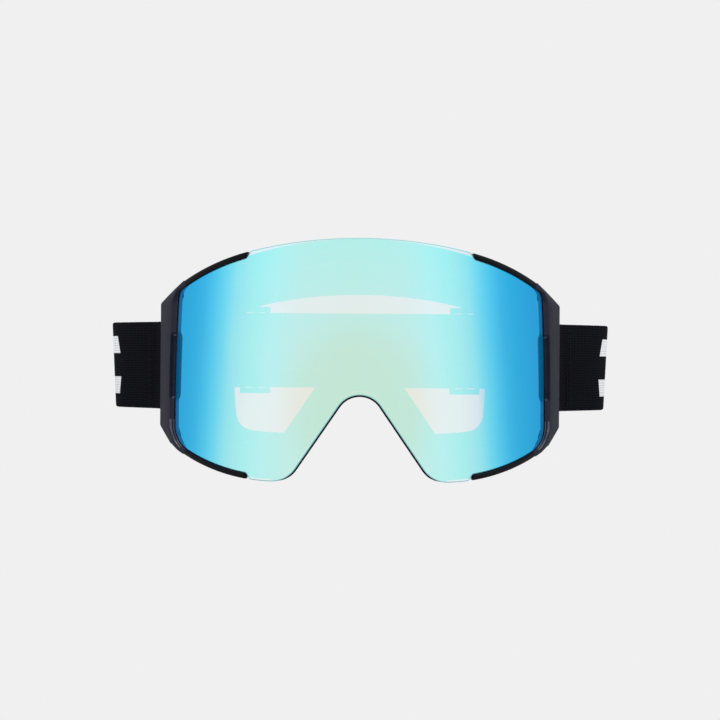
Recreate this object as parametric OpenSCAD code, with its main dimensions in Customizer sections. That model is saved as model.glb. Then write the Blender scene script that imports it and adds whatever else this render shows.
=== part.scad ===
// Ski goggles: a cylindrical double lens held by magnets, side arms, a soft face frame
// with layered foam, and an elastic strap on swinging outriggers with two adjusters.
// The front faces -Y and +Z is up. The origin is where the forehead meets the foam,
// level with the middle of the lens. Millimetres.

/* [Lens] */
// Radius of the outer lens about its vertical axis
lens_r = 98; // [96:0.5:100]
// Thickness of the outer lens
lens_t = 1.6; // [1.2:0.1:2]
// Thickness of the inner lens
inner_lens_t = 1.0; // [0.8:0.1:1.2]
// Height of the lens top above the middle
lens_top = 50.1; // [49:0.1:51]
// Depth of the lens bottom below the middle
lens_low = 50.6; // [50:0.1:51.5]
// Half width of the lens with the arms beside it
lens_half_w = 82.9; // [82:0.1:83.5]

/* [Frame] */
// Distance from the lens front to the forehead
depth = 49; // [48:0.5:50]
// Half width over the side arms
frame_half_w = 88.8; // [88:0.1:89.5]
// Width of each corner arm beside the lens, seen from the front
arm_w = 2.3; // [2:0.1:2.6]
// Wall thickness of the soft face frame
wall_t = 2.2; // [1.8:0.1:2.4]
// Total thickness of the face foam
foam_t = 16; // [14:0.5:16]

/* [Strap] */
// Width of the elastic webbing
strap_w = 40; // [38:0.5:40]
// Thickness of one layer of webbing
strap_t = 1.6; // [1.2:0.1:1.6]
// Height of the strap's middle at the outriggers
strap_front_z = -3; // [-3.5:0.5:-2.5]
// Height of the strap's middle at the back of the head
strap_back_z = 5; // [4:0.5:8]
// Distance from the forehead to the back of the strap loop
strap_back_y = 160; // [150:1:170]

/* [Hidden] */
$fn = 64;
gap = 0.2;                       // clearance between parts that only touch
lens_cy = lens_r - depth;        // y of the lens's vertical axis
lens_back_r = lens_r - lens_t;
spacer_t = 4.4;                  // foam spacer between the two lenses
spacer_w = 3.3;                  // its width along the lens's edge
inner_r = lens_back_r - 0.1 - spacer_t - 0.1;
seat_r = lens_back_r - gap;      // front surface of the rigid seat frame
seat_back_r = seat_r - 7.8;
face_r = 98;                     // radius of the face-contact surface
flange_cy = face_r - foam_t;     // y of the axis of the flange's rear surface
strap_mid = 0.1;                 // half the slit between the two layers of webbing

pin_r = 1.5;                     // outrigger hinge pin
pin_fit = 0.05;
pin_xy = [84, 24];
bar_r = 1.7;                     // outrigger bar that the webbing wraps
bar_xy = [88.5, 32];
barrel_r = 2.6;
clip_half_h = strap_w / 2 + 1;   // half height of the outrigger's strap opening
clip_plate_t = 2.5;
lug_t = 3;
arm_back_r = lens_r - 5;         // back of the corner arms

tab_x = [72.6, 78.1];            // lens tab, from its inner to its outer side
tab_z = [-20, 8];
tab_back_y = -4;
magnet_r = 2.3;
magnet_t = 1.6;
tab_magnet_z = [-14.5, 2.5];
tab_magnet_x = 75.3;
rim_magnets = [[24, 43.2], [40, -44.8]];
screw_y = -2.9;
screw_z = [17.5, -28];
screw_r = 0.9;

slider_x = 56.4;                   // middle of each strap adjuster
slider_w = 16;
back_half = 72;                  // half length of the straight back of the loop
bare_half = 46;                  // half length of the bare webbing between the adjusters

// An outline is [top, top_r, top_x, shoulder_r, side_x, side_r, side_z, up_r, down_r,
// low, low_r, lobe_x, lobe_r, arch, arch_r]: the top arc, the shoulder, the bowed side,
// its two corners, the bottom arc, the lobe beside the nose, and the arch over the nose.
LENS = [lens_top, 218.5, 46, 105, lens_half_w, 850, -26, 6.5, 14,
        -lens_low, 85, 36.8, 12.5, -14.5, 10.5];
// The parts behind the outer lens are set out from a narrower outline
INNER = [lens_top, 218.5, 46, 105, lens_half_w - 1.6, 236, -8, 8, 7,
         -lens_low, 85, 36.8, 12.5, -14.5, 10.5];
SEAT = [lens_top - 0.3, 175, 38, 180, lens_half_w - arm_w - 0.4, 848, -26, 7.5, 13,
        -lens_low + 0.8, 85, 36.8, 12, -14.5, 10.5];
FACE = [lens_top - 1, 150, 42, 95, 81.6, 220, -4, 18, 15,
        -lens_low + 1.4, 98, 36.4, 11.3, -12.6, 11];
EYES = [29.6, 212, 40, 66, 57.6, 200, -4, 14, 9,
        -33.5, 150, 32.5, 4, 3, 11];

function unit_at(a) = [cos(a), sin(a)];
function angle_of(v) = atan2(v.y, v.x);
function arc(c, r, a0, a1, last = 0, step = 2.4) =
    let (n = max(2, ceil(abs(a1 - a0) * PI / 180 * r / step)))
    [for (i = [0:n - 1 + last]) c + r * unit_at(a0 + (a1 - a0) * i / n)];
// Where two circles cross, on the side towards +X of the line between their centres
function cross_at(c1, r1, c2, r2) =
    let (v = c2 - c1, d = norm(v), u = v / d, a = (r1 * r1 - r2 * r2 + d * d) / (2 * d))
    c1 + a * u - sqrt(r1 * r1 - a * a) * [-u.y, u.x];

// The right half of outline p, moved inwards by d, from the top centre to the nose
function half_outline(p, d) =
    let (
        min_r = 1.5,
        c_top = [0, p[0] - p[1]],
        a_top = asin(p[2] / p[1]),
        c_shoulder = c_top + (p[1] - p[3]) * unit_at(90 - a_top),
        c_side = [p[4] - p[5], p[6]],
        c_low = [p[11], p[9] + p[10]],
        r_up = max(p[7] - d, min_r),
        r_down = max(p[8] - d, min_r),
        c_up = cross_at(c_shoulder, p[3] - d - r_up, c_side, p[5] - d - r_up),
        c_down = cross_at(c_side, p[5] - d - r_down, c_low, p[10] - d - r_down),
        c_arch = [0, p[13] - p[14]],
        v = [p[11], p[9] + p[12]] - c_arch,
        slope = asin((p[14] + p[12]) / norm(v)) - angle_of(v),
        r_lobe = max(p[12] - d, min_r),
        n = unit_at(90 - slope),
        along = unit_at(-slope),
        reach = p[10] - d - r_lobe,
        m = p[14] + d + r_lobe - (c_low - c_arch) * n,
        c_lobe = c_low + m * n + sqrt(reach * reach - m * m) * along
    )
    concat(
        arc(c_top, p[1] - d, 90, 90 - a_top),
        arc(c_shoulder, p[3] - d, 90 - a_top, angle_of(c_up - c_shoulder)),
        arc(c_up, r_up, angle_of(c_up - c_shoulder), angle_of(c_up - c_side)),
        arc(c_side, p[5] - d, angle_of(c_up - c_side), angle_of(c_down - c_side)),
        arc(c_down, r_down, angle_of(c_down - c_side), angle_of(c_down - c_low)),
        arc(c_low, p[10] - d, angle_of(c_down - c_low), angle_of(c_lobe - c_low)),
        arc(c_lobe, r_lobe, angle_of(c_lobe - c_low), -90 - slope, 1, 2),
        arc(c_arch, p[14] + d, 90 - slope, 90, 1, 2));

module outline(p, d = 0) {
    half = half_outline(p, d);
    n = len(half);
    polygon(concat(half, [for (i = [n - 2:-1:1]) [-half[i].x, half[i].y]]));
}

module ring(p, d, q, e) {
    difference() {
        outline(p, d);
        outline(q, e);
    }
}

// Pushes a front-view outline (x, z) from y0 back to y1
module push(y0, y1) {
    translate([0, y1, 0]) rotate([90, 0, 0]) linear_extrude(y1 - y0) children();
}

module post(r, cy, h = 140) {
    translate([0, cy, -h / 2]) cylinder(r = r, h = h, $fn = 128);
}

// The layer between radii r_out and r_in about the lens axis, in front of that axis
module lens_layer(r_out, r_in) {
    intersection() {
        difference() {
            post(r_out, lens_cy);
            post(r_in, lens_cy, 150);
        }
        push(-80, lens_cy) children();
    }
}

// The layer of thickness t in front of the face surface whose axis is at y = cy
module face_layer(cy, t) {
    intersection() {
        difference() {
            post(face_r, cy - t);
            post(face_r, cy, 150);
        }
        push(-80, 80) children();
    }
}

module both_sides() {
    children();
    mirror([1, 0, 0]) children();
}

module side(name) {
    if (name == "right") children();
    else mirror([1, 0, 0]) children();
}

// Where the lens comes out to the full outline, between the tips of the corner arms
module notch_window(grow = 0) {
    lean = 0.65;
    x = 46 + grow;
    half = [[x - 15 * lean, 60], [x + 15 * lean, 30], [x + 15 * lean, -35],
            [x - 10 * lean, -60]];
    polygon(concat(half, [for (i = [3:-1:0]) [-half[i].x, half[i].y]]));
}

module nose_window() {
    polygon([[-30, -46.5], [30, -46.5], [30, 0], [-30, 0]]);
}

module y_disc(x, z, y, r, t) {
    translate([x, y + t, z]) rotate([90, 0, 0]) cylinder(r = r, h = t, $fn = 32);
}

function rim_magnet_y(x) = lens_cy - sqrt(pow(lens_back_r, 2) - pow(x + magnet_r, 2)) + 0.1;

module at_tab_magnets() {
    for (z = tab_magnet_z) translate([tab_magnet_x, 0, z]) children();
}

// Lens assembly

module outer_lens() {
    color("#5cc6e6")
    lens_layer(lens_r, lens_back_r) {
        outline(LENS, arm_w + gap);
        intersection() {
            outline(LENS);
            notch_window();
        }
    }
}

module lens_spacer() {
    color("#202024") lens_layer(lens_back_r - 0.1, inner_r + 0.1) ring(INNER, 9, INNER, 9 + spacer_w);
}

module inner_lens() {
    color("#c8d0d4") lens_layer(inner_r, inner_r - inner_lens_t) outline(INNER, 9);
}

module lens_tab_solid() {
    intersection() {
        post(lens_back_r - 0.05, lens_cy);
        translate([tab_x[0], -40, tab_z[0]])
            cube([tab_x[1] - tab_x[0], 40 + tab_back_y, tab_z[1] - tab_z[0]]);
        push(-80, 40) outline(LENS, arm_w + 2 * gap);
    }
}

module lens_tab(name) {
    color("#16181c") side(name) difference() {
        lens_tab_solid();
        at_tab_magnets() y_disc(0, 0, tab_back_y - magnet_t, magnet_r + 0.05, magnet_t + 1);
    }
}

module lens_magnets() {
    color("#b8bcc0") both_sides() {
        at_tab_magnets() y_disc(0, 0, tab_back_y - magnet_t, magnet_r, magnet_t);
        for (m = rim_magnets) y_disc(m.x, m.y, rim_magnet_y(m.x), magnet_r, magnet_t);
    }
}

// Rigid seat frame and side arms

module seat_frame() {
    pocket_y = tab_back_y + 2 * gap;
    color("#17181b") difference() {
        union() {
            lens_layer(seat_r, seat_back_r) ring(SEAT, 0, INNER, 8.4);
            lens_layer(inner_r - inner_lens_t - gap, seat_back_r) ring(INNER, 8.2, INNER, 11);
        }
        push(-80, 20) intersection() {
            ring(LENS, -2, LENS, 1.7);
            nose_window();
        }
        lens_layer(lens_r + 1, arm_back_r - 0.1) difference() {
            outline(LENS, -1);
            outline(LENS, arm_w + 0.05);
            notch_window(0.25);
        }
        both_sides() {
            translate([tab_x[0] - 3, pocket_y - 60, tab_z[0] - 0.5])
                cube([20, 60, tab_z[1] - tab_z[0] + 1]);
            at_tab_magnets() y_disc(0, 0, pocket_y - 1, magnet_r + 0.05, magnet_t + 1);
            for (m = rim_magnets) {
                y = rim_magnet_y(m.x);
                y_disc(m.x, m.y, y - 12, magnet_r + 0.4, magnet_t + 12.2);
                y_disc(m.x, m.y, y, magnet_r + 0.05, 2 * magnet_t + 0.2);
            }
            arm_screw_shafts(0.05);
        }
    }
}

module seat_magnets() {
    color("#b8bcc0") both_sides() {
        at_tab_magnets() y_disc(0, 0, tab_back_y + 2 * gap, magnet_r, magnet_t);
        for (m = rim_magnets)
            y_disc(m.x, m.y, rim_magnet_y(m.x) + magnet_t + 0.2, magnet_r, magnet_t);
    }
}

module nose_gasket() {
    color("#0c0c0d") lens_layer(seat_r, seat_back_r + 1) intersection() {
        ring(LENS, -0.9, LENS, 1.5);
        nose_window();
    }
}

// Bent plate behind the lens's side edge, as a plan view (x, y)
arm_plan = [[79, -6], [80.3, -6], [80.5, -9.2], [82, -9.4], [82.7, -8],
            [frame_half_w - 0.8, 4], [frame_half_w, 8], [frame_half_w, 19],
            [frame_half_w - 0.8, 20], [86.6, 20], [86.6, 6], [81.2, -3.6], [79, -3.6]];
// The same plate from the front (x, z), with its two cut corners
arm_front = [[76.5, 33.6], [80.9, 30.5], [frame_half_w, 24.3], [frame_half_w, -29.2],
             [82.8, -37], [79.2, -39.9], [76.5, -41.6]];

module arm_screw_shafts(grow = 0) {
    for (z = screw_z) translate([73.4, screw_y, z]) rotate([0, 90, 0]) {
        cylinder(r = screw_r + grow, h = 8.4 + grow, $fn = 24);
        translate([0, 0, -3 * grow]) cylinder(r = 1.7 + grow, h = 1.2 + 3 * grow, $fn = 24);
        if (grow > 0) translate([0, 0, -10]) cylinder(r = 1.7 + grow, h = 10, $fn = 24);
    }
}

module arm_screws() {
    color("#8d9094") both_sides() arm_screw_shafts();
}

module hinge_lug(z) {
    translate([0, 0, z]) linear_extrude(lug_t) difference() {
        union() {
            translate(pin_xy) circle(r = barrel_r + 0.2, $fn = 48);
            polygon([[81.4, 22], [86.7, 18], [86.7, 24.4], [83, 25]]);
            polygon([[82.2, 14], [86.7, 12], [86.7, 22], [82, 24]]);
        }
        translate(pin_xy) circle(r = pin_r + 0.02, $fn = 48);
    }
}

module side_arm(name) {
    low = strap_front_z - clip_half_h - clip_plate_t - gap - lug_t;
    high = strap_front_z + clip_half_h + clip_plate_t + gap;
    color("#1d1e22") side(name) difference() {
        union() {
            lens_layer(lens_r + 0.8, arm_back_r) difference() {
                outline(LENS);
                outline(LENS, arm_w);
                notch_window(0.25);
                translate([-100, -100]) square([140, 200]);
            }
            intersection() {
                translate([0, 0, -60]) linear_extrude(120) polygon(arm_plan);
                push(-80, 60) difference() {
                    polygon(arm_front);
                    outline(LENS, arm_w);
                }
            }
            hinge_lug(low);
            hinge_lug(high);
        }
        arm_screw_shafts(0.05);
    }
}

module hinge_pin(name) {
    color("#9a9da1") side(name)
        translate([pin_xy.x, pin_xy.y, strap_front_z - clip_half_h - clip_plate_t - gap - lug_t])
            cylinder(r = pin_r, h = 2 * (clip_half_h + clip_plate_t + gap + lug_t), $fn = 48);
}

// Outrigger: a barrel on the hinge pin and a bar for the webbing, joined by two plates

module outrigger(name) {
    h = 2 * (clip_half_h + clip_plate_t);
    color("#141518") side(name) translate([0, 0, strap_front_z - h / 2]) difference() {
        union() {
            translate(pin_xy) cylinder(r = barrel_r, h = h, $fn = 48);
            translate(bar_xy) cylinder(r = bar_r, h = h, $fn = 48);
            for (z = [0, h - clip_plate_t]) translate([0, 0, z]) linear_extrude(clip_plate_t) {
                translate(bar_xy) circle(r = bar_r + 1, $fn = 48);
                translate(pin_xy) circle(r = barrel_r, $fn = 48);
                polygon([[81.8, 25.4], [86.3, 22.8], [90.8, 30.6], [86.2, 33.4]]);
            }
        }
        translate([pin_xy.x, pin_xy.y, -1]) cylinder(r = pin_r + pin_fit, h = h + 2, $fn = 48);
    }
}

// Soft face frame, vent foam and face foam

vent_w = 15;
vent_x = [for (i = [-2:2]) 19 * i];
low_vent_x = [31, 48];

module vent_slots() {
    for (x = vent_x) translate([x - vent_w / 2, lens_cy - sqrt(pow(84, 2) - x * x), 20])
        cube([vent_w, 8, 60]);
    for (x = low_vent_x, s = [-1, 1])
        translate([s * x - 6, lens_cy - sqrt(pow(83, 2) - x * x), -80]) cube([12, 7, 60]);
}

module frame_wall(p, d, t, front_r, back_cut) {
    difference() {
        intersection() {
            post(front_r, lens_cy);
            push(-80, 60) ring(p, d, p, d + t);
        }
        post(face_r, flange_cy - back_cut, 150);
    }
}

module face_frame() {
    color("#1a1b1f") difference() {
        union() {
            frame_wall(FACE, 1.2, wall_t, seat_back_r - 0.1, wall_t);
            face_layer(flange_cy, wall_t) ring(FACE, 0, EYES, -0.6);
        }
        vent_slots();
    }
}

module vent_foam(low) {
    color("#3a3b40") intersection() {
        frame_wall(FACE, 1.3 + wall_t, 1.6, seat_back_r - 1.6, wall_t + 0.5);
        if (low) both_sides() translate([24, -60, -80]) cube([32, 120, 50]);
        else translate([-48, -60, 20]) cube([96, 120, 60]);
    }
}

module foam_dense() {
    color("#26272b") face_layer(face_r - 8, foam_t - 8.05) ring(FACE, 1, EYES, 0.2);
}

module foam_soft() {
    color("#303136") face_layer(face_r - 2, 5.95) ring(FACE, 1.8, EYES, 0.6);
}

module face_fleece() {
    color("#3c3d43") face_layer(face_r, 1.95) ring(FACE, 2.8, EYES, 1.2);
}

// Strap

function bezier(p, t) =
    pow(1 - t, 3) * p[0] + 3 * pow(1 - t, 2) * t * p[1]
    + 3 * (1 - t) * t * t * p[2] + pow(t, 3) * p[3];
function bezier_way(p, t) =
    let (v = 3 * pow(1 - t, 2) * (p[1] - p[0]) + 6 * (1 - t) * t * (p[2] - p[1])
             + 3 * t * t * (p[3] - p[2]))
    v / norm(v);
wide_xy = [117.2, 66];           // where the loop is widest
near_curve = [bar_xy, bar_xy + [9.4, 10.4], wide_xy - [0, 18], wide_xy];
far_curve = [wide_xy, wide_xy + [0, 54], [back_half + 34, strap_back_y], [back_half, strap_back_y]];
// u runs from 0 at the outrigger's bar, through 1 at the widest place, to 2 at the back
rise_u = 1.4;                    // where the loop starts to rise towards the back
function strap_at(u) = u < 1 ? bezier(near_curve, u) : bezier(far_curve, u - 1);
function strap_way(u) = u < 1 ? bezier_way(near_curve, u) : bezier_way(far_curve, u - 1);
function strap_z(u) =
    let (s = max(0, u - rise_u) / (2 - rise_u))
    strap_front_z + (strap_back_z - strap_front_z) * s * s * (3 - 2 * s);

// A band of webbing along the path from u0 to u1, in both layers
module webbing(u0, u1, n) {
    half_t = strap_t + strap_mid;
    points = [for (i = [0:n]) let (
        u = u0 + (u1 - u0) * i / n,
        c = strap_at(u),
        w = strap_way(u),
        out = [w.y, -w.x] * half_t,
        z = strap_z(u))
        each [for (k = [[-1, -1], [1, -1], [1, 1], [-1, 1]])
            [c.x + k[0] * out.x, c.y + k[0] * out.y, z + k[1] * strap_w / 2]]];
    sides = [for (i = [0:n - 1], k = [0:3])
        let (a = 4 * i + k, b = 4 * i + (k + 1) % 4) each [[a, b, a + 4], [b, b + 4, a + 4]]];
    ends = [[0, 3, 2, 1], [for (k = [0:3]) 4 * n + k]];
    polyhedron(points, concat(sides, ends), convexity = 6);
}

near_u = 0.057;                  // inside the loop round the outrigger's bar
seam_u = 0.8;                    // where the near piece hands over to the side piece

module bar_loop() {
    translate([bar_xy.x, bar_xy.y, strap_front_z - strap_w / 2]) linear_extrude(strap_w)
        difference() {
            circle(r = bar_r + 0.05 + strap_t, $fn = 48);
            circle(r = bar_r + 0.05, $fn = 48);
        }
}

module strap_near(name) {
    color("#0b0b0d") side(name) {
        bar_loop();
        webbing(near_u, seam_u, 10);
    }
}

// The doubled band beside the head, and the single layer that runs on through the adjuster
module strap_side(name) {
    color("#0b0b0d") side(name) {
        webbing(seam_u, 2, 26);
        translate([bare_half, strap_back_y + strap_mid, strap_back_z - strap_w / 2])
            cube([back_half - bare_half + 0.5, strap_t, strap_w]);
    }
}

module strap_back() {
    color("#0b0b0d") translate([-bare_half, strap_back_y + strap_mid, strap_back_z - strap_w / 2])
        cube([2 * bare_half, strap_t, strap_w]);
}

module strap_tail(name) {
    x = slider_x + slider_w / 2 + 0.8;
    color("#0b0b0d") side(name)
        translate([x, strap_back_y - strap_mid - strap_t, strap_back_z - strap_w / 2])
            cube([back_half - x, strap_t - 0.2, strap_w]);
}

module strap_grip() {
    color("#1c1c20") for (k = [-1:1])
        translate([-42, strap_back_y + strap_mid - 0.35, strap_back_z + 11 * k - 1])
            cube([84, 0.3, 2]);
}

// Adjuster: a ladder of one outer bar and two inner bars around the back webbing
module strap_slider(name) {
    rail_h = 2.8;
    in_y = strap_back_y + strap_mid - 2.5 * gap;
    out_y = strap_back_y + strap_mid + strap_t + gap;
    bar_t = 1.7;
    x0 = slider_x - slider_w / 2;
    color("#111214") side(name) {
        for (s = [-1, 1])
            translate([x0, in_y - bar_t, strap_back_z + s * (strap_w / 2 + 0.4 + rail_h / 2) - rail_h / 2])
                cube([slider_w, out_y - in_y + 2 * bar_t, rail_h]);
        for (x = [x0, x0 + slider_w - 2.6])
            translate([x, in_y - bar_t, strap_back_z - strap_w / 2 - 1])
                cube([2.6, bar_t, strap_w + 2]);
        translate([slider_x - 1.5, out_y, strap_back_z - strap_w / 2 - 1])
            cube([3, bar_t, strap_w + 2]);
    }
}

outer_lens();
lens_spacer();
inner_lens();
lens_magnets();
seat_frame();
seat_magnets();
nose_gasket();
arm_screws();
face_frame();
vent_foam(false);  // vent_foam_top
vent_foam(true);  // vent_foam_bottom
foam_dense();
foam_soft();
face_fleece();
strap_back();
strap_grip();
for (s = ["left", "right"]) {
    lens_tab(s);
    side_arm(s);
    hinge_pin(s);
    outrigger(s);
    strap_near(s);
    strap_side(s);
    strap_tail(s);
    strap_slider(s);
}
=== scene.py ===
"""Ski goggles with a mirrored cylindrical lens, a padded frame and an elastic strap.

Lengths in the constants are millimetres; MM turns them into metres where a mesh is made.
Front-view shapes are complex numbers, x + 1j * z, and plan-view shapes are x + 1j * y.
"""

import cmath
from collections import namedtuple
from itertools import accumulate
from math import asin, copysign, cos, pi, radians, sin, sqrt, tau

import bmesh
import bpy
from mathutils import Matrix, Vector


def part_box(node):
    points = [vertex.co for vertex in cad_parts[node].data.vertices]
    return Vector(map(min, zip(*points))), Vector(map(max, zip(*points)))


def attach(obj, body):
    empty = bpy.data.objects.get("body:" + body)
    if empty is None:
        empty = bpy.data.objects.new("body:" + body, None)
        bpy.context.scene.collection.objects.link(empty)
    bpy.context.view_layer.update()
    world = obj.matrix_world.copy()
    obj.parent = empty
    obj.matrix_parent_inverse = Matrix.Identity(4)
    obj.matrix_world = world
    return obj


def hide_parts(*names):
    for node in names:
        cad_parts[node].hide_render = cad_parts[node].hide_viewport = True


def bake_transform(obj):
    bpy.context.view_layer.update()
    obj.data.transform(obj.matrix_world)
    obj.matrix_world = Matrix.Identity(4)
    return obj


MM = 0.001
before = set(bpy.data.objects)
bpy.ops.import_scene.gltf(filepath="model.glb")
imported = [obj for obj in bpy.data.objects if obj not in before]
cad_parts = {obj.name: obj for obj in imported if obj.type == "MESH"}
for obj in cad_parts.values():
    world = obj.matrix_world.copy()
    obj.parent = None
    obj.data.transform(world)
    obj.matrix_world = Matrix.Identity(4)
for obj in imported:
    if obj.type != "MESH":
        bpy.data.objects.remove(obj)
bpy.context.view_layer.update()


def box_mm(node):
    """Lowest and highest corner of a CAD node, in millimetres."""
    low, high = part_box(node)
    return low / MM, high / MM


# ---- driving sizes

LENS_LOW, LENS_HIGH = box_mm("outer_lens")
BACK_LOW, BACK_HIGH = box_mm("strap_back")
PIN_LOW, PIN_HIGH = box_mm("hinge_pin_right")
ARM_X = box_mm("side_arm_right")[1].x
SLIDER_LOW, SLIDER_HIGH = box_mm("strap_slider_right")

LENS_R = 98
LENS_T = 1.6
LENS_CY = LENS_R + LENS_LOW.y
SEAT_BACK_R = LENS_R - LENS_T - 8.0
FACE_R = 98
FOAM_T = 16
FLANGE_CY = FACE_R - FOAM_T
FLANGE_T = 2.2
FLANGE_FRONT = FLANGE_CY - FLANGE_T
ARM_W = 2.3
GAP = 0.2
NOTCH_X = 46
NOTCH_LEAN = 0.65
NOTCH_TOP_Z = 45
NOTCH_LOW_Z = 49.6
POCKET_Z = (-17.5, 11.5)

Outline = namedtuple(
    "Outline",
    "top top_r top_x shoulder_r side_x side_r side_z up_r down_r low low_r lobe_x lobe_r arch arch_r",
)
TOP = LENS_HIGH.z
LOW = LENS_LOW.z
LENS = Outline(TOP, 218.5, 46, 105, 82.9, 850, -26, 6.5, 14, LOW, 85, 36.8, 12.5, -14.5, 10.5)
FACE = Outline(
    TOP - 1, 150, 42, 95, 81.6, 220, -4, 18, 15, LOW + 1.4, 98, 36.4, 11.3, -12.6, 11
)
EYES = Outline(29.6, 212, 40, 66, 57.6, 200, -4, 14, 9, -33.5, 150, 32.5, 4, 3, 11)
ARC_POINTS = (30, 26, 14, 40, 14, 28, 20, 12, 12)
MIN_CORNER_R = 1.5
CORNER_STEPS = 4

STRAP_T = 1.5
STRAP_W = BACK_HIGH.z - BACK_LOW.z
STRAP_Y = BACK_LOW.y - 0.1
STRAP_BACK_Z = (BACK_LOW.z + BACK_HIGH.z) / 2
STRAP_FRONT_Z = (PIN_LOW.z + PIN_HIGH.z) / 2
BACK_HALF = 72
SEAM_U = 0.8
PIN = complex((PIN_LOW.x + PIN_HIGH.x) / 2, (PIN_LOW.y + PIN_HIGH.y) / 2)
BAR = PIN + 4.5 + 8j
BAR_R = 1.7
WIDEST = complex(117.2, 66)

# ---- front-view outlines


def unit(angle):
    return cmath.exp(1j * angle)


def direction(a, b):
    """The unit number that points from a to b."""
    return (b - a) / abs(b - a)


def dot(a, b):
    return a.real * b.real + a.imag * b.imag


def smooth(t):
    """Eases from 0 to 1 as t does."""
    t = min(max(t, 0.0), 1.0)
    return t * t * (3 - 2 * t)


def cross_at(c1, r1, c2, r2):
    """Where two circles cross, on the side towards +X."""
    d = abs(c2 - c1)
    a = (r1 * r1 - r2 * r2 + d * d) / (2 * d)
    return c1 + direction(c1, c2) * complex(a, -sqrt(r1 * r1 - a * a))


def arc(centre, r, a0, a1, count):
    return [centre + r * unit(a0 + (a1 - a0) * i / count) for i in range(count)]


def half_outline(p, d):
    """Right half of outline p moved inwards by d, from the top centre to the nose's top."""
    c_top = 1j * (p.top - p.top_r)
    a_top = pi / 2 - asin(p.top_x / p.top_r)
    c_shoulder = c_top + (p.top_r - p.shoulder_r) * unit(a_top)
    c_side = complex(p.side_x - p.side_r, p.side_z)
    c_low = complex(p.lobe_x, p.low + p.low_r)
    r_up, r_down, r_lobe = (max(r - d, MIN_CORNER_R) for r in (p.up_r, p.down_r, p.lobe_r))
    c_up = cross_at(c_shoulder, p.shoulder_r - d - r_up, c_side, p.side_r - d - r_up)
    c_down = cross_at(c_side, p.side_r - d - r_down, c_low, p.low_r - d - r_down)
    c_arch = 1j * (p.arch - p.arch_r)
    v = complex(p.lobe_x, p.low + p.lobe_r) - c_arch
    slope = asin((p.arch_r + p.lobe_r) / abs(v)) - cmath.phase(v)
    n = unit(pi / 2 - slope)
    reach = p.low_r - d - r_lobe
    m = p.arch_r + d + r_lobe - dot(c_low - c_arch, n)
    c_lobe = c_low + m * n + sqrt(reach * reach - m * m) * unit(-slope)
    joints = ((c_shoulder, c_up), (c_side, c_up), (c_side, c_down), (c_low, c_down), (c_low, c_lobe))
    turns = [a_top, *(cmath.phase(b - a) for a, b in joints), -pi / 2 - slope]
    points = arc(c_top, p.top_r - d, pi / 2, a_top, ARC_POINTS[0])
    arcs = (
        (c_shoulder, p.shoulder_r - d),
        (c_up, r_up),
        (c_side, p.side_r - d),
        (c_down, r_down),
        (c_low, p.low_r - d),
        (c_lobe, r_lobe),
    )
    for i, (centre, r) in enumerate(arcs):
        points += arc(centre, r, turns[i], turns[i + 1], ARC_POINTS[i + 1])
    slope_start = c_lobe + r_lobe * unit(turns[-1])
    slope_end = c_arch + (p.arch_r + d) * n
    steps = ARC_POINTS[7]
    points += [slope_start + (slope_end - slope_start) * i / steps for i in range(steps)]
    points += arc(c_arch, p.arch_r + d, pi / 2 - slope, pi / 2, ARC_POINTS[8])
    return points + [c_arch + 1j * (p.arch_r + d)]


def closed(half):
    """The whole outline from its right half."""
    return half + [complex(-p.real, p.imag) for p in reversed(half[1:-1])]


def outline(p, d=0.0):
    return closed(half_outline(p, d))


def mix(a, b, w):
    return [p + (q - p) * w for p, q in zip(a, b)]


def inset(loop, amount):
    """A clockwise loop moved inwards; amount is one number or one for each point."""
    n = len(loop)
    amounts = amount if isinstance(amount, list) else [amount] * n
    out = []
    for i, p in enumerate(loop):
        before = p - loop[i - 1]
        after = loop[(i + 1) % n] - p
        turn = before / (abs(before) or 1) + after / (abs(after) or 1)
        turn /= abs(turn) or 1
        out.append(p + turn * -1j * amounts[i])
    return out


def round_corner(a, b, c, r):
    """Points that replace corner b between a and c."""
    start = b + direction(b, a) * r
    end = b + direction(b, c) * r
    ts = [i / CORNER_STEPS for i in range(CORNER_STEPS + 1)]
    return [(1 - t) ** 2 * start + 2 * t * (1 - t) * b + t * t * end for t in ts]


def lengths_along(path):
    """The path's length up to each of its points."""
    return list(accumulate((abs(b - a) for a, b in zip(path, path[1:])), initial=0.0))


def places(lengths, wanted):
    """For each wanted length: the stretch that it falls in, and how far along that it is."""
    k = 0
    for s in wanted:
        while k < len(lengths) - 2 and lengths[k + 1] < s:
            k += 1
        yield k, (s - lengths[k]) / (lengths[k + 1] - lengths[k])


def resample(path, fractions):
    """Points at the given fractions of an open path's length."""
    lengths = lengths_along(path)
    wanted = [lengths[-1] * f for f in fractions]
    return [path[k] + (path[k + 1] - path[k]) * w for k, w in places(lengths, wanted)]


def crossing(path, value, first=0):
    """The point where value changes sign on path, and the index that follows it."""
    for i in range(first, len(path) - 1):
        a, b = value(path[i]), value(path[i + 1])
        if (a < 0) != (b < 0):
            return path[i] + (path[i + 1] - path[i]) * (a / (a - b)), i + 1
    raise ValueError("the path does not cross")


def stretches(path, values):
    """Splits path where each function in values changes sign, and keeps what lies between."""
    pieces = []
    start, i = crossing(path, values[0])
    for value in values[1:]:
        end, k = crossing(path, value, i)
        pieces.append([start, *path[i:k], end])
        start, i = end, k
    return pieces


def at_x(x):
    return lambda p: p.real - x


def at_z(z):
    return lambda p: p.imag - z


# ---- mesh helpers

CREASE = 35
COLUMN = 2.0
SLAB_HALF = 90
CAD_CREASE = 30


def y_on(x, r, cy):
    """y of the front of a round post of radius r whose axis is at y = cy."""
    return cy - sqrt(max(r * r - x * x, 0.0))


def at_depth(c, y):
    """A front-view point at depth y, in metres."""
    return Vector((c.real, y, c.imag)) * MM


def at_height(c, z):
    """A plan-view point at height z, in metres."""
    return Vector((c.real, c.imag, z)) * MM


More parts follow.
